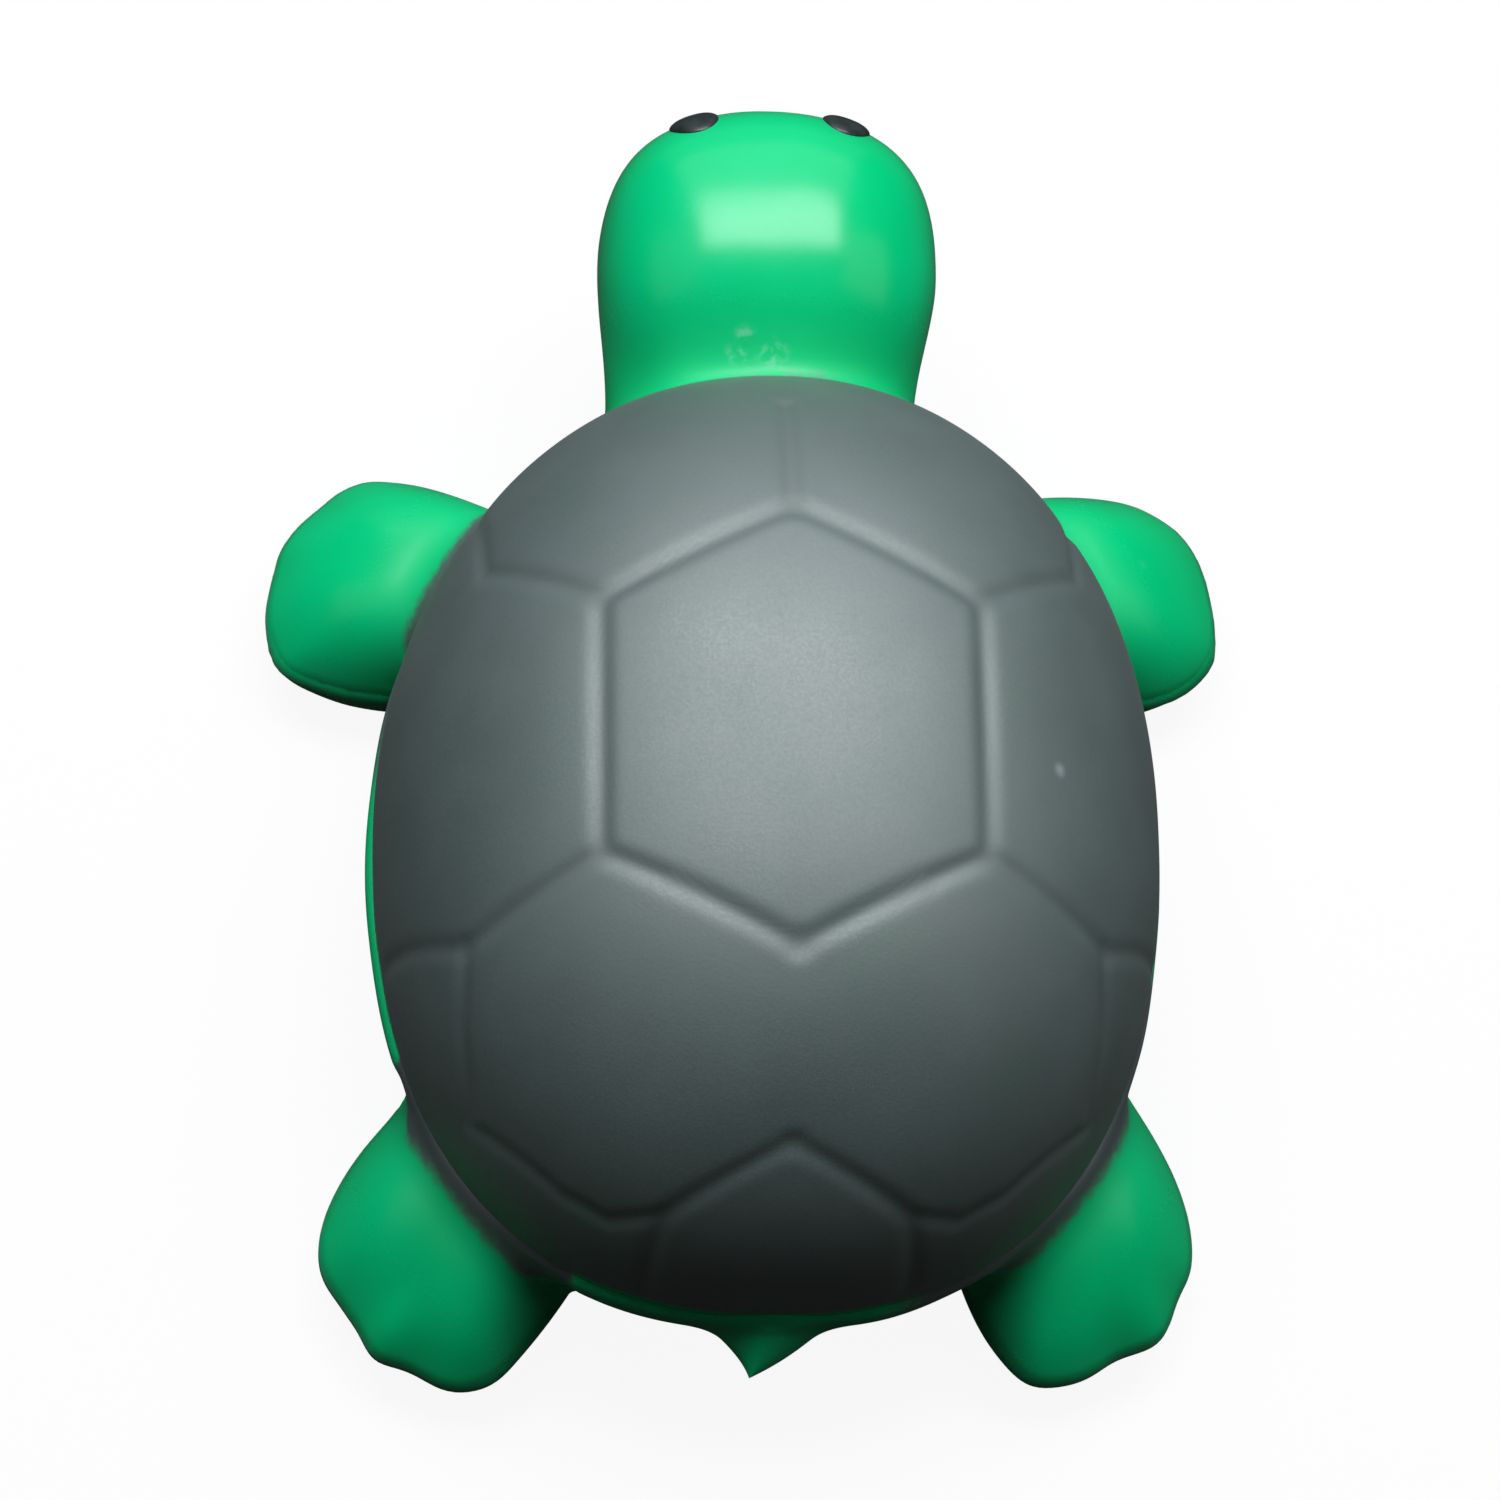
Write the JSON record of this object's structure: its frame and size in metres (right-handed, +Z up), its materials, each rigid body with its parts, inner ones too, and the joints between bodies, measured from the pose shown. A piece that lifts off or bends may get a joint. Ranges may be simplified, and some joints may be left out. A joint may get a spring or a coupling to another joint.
{
  "type": "foam turtle squeeze toy",
  "caption": "Hand-sized foam turtle with a grooved dome shell, stubby toed legs, raised head and pointed tail, squeezed by pressing the shell down into its soft body.",
  "frame": {"origin": "middle of the outline, on the surface that the belly and soles rest on", "axes": "+Z up out of the shell, -Y the way the turtle faces, +X its left side"},
  "size_m": [0.074, 0.0962, 0.045],
  "materials": {
    "green_foam": "self-skinned polyurethane foam, smooth satin green skin",
    "grey_paint": "thin matte dark grey spray paint over the foam skin",
    "black_paint": "satin black paint on a raised oval"
  },
  "bodies": {
    "body": {"torso": "green_foam", "head": "green_foam", "left_eye": "black_paint", "right_eye": "black_paint", "front_left_leg": "green_foam", "front_right_leg": "green_foam", "rear_left_leg": "green_foam", "rear_right_leg": "green_foam", "tail": "green_foam"},
    "shell": {"shell": "grey_paint"}
  },
  "joints": [
    {"name": "shell_squeeze", "type": "slide", "parent": "body", "child": "shell", "axis": [0, 0, -1], "range_m": [0, 0.008], "stiffness_N_per_m": 3000, "deforming": ["torso"]}
  ]
}
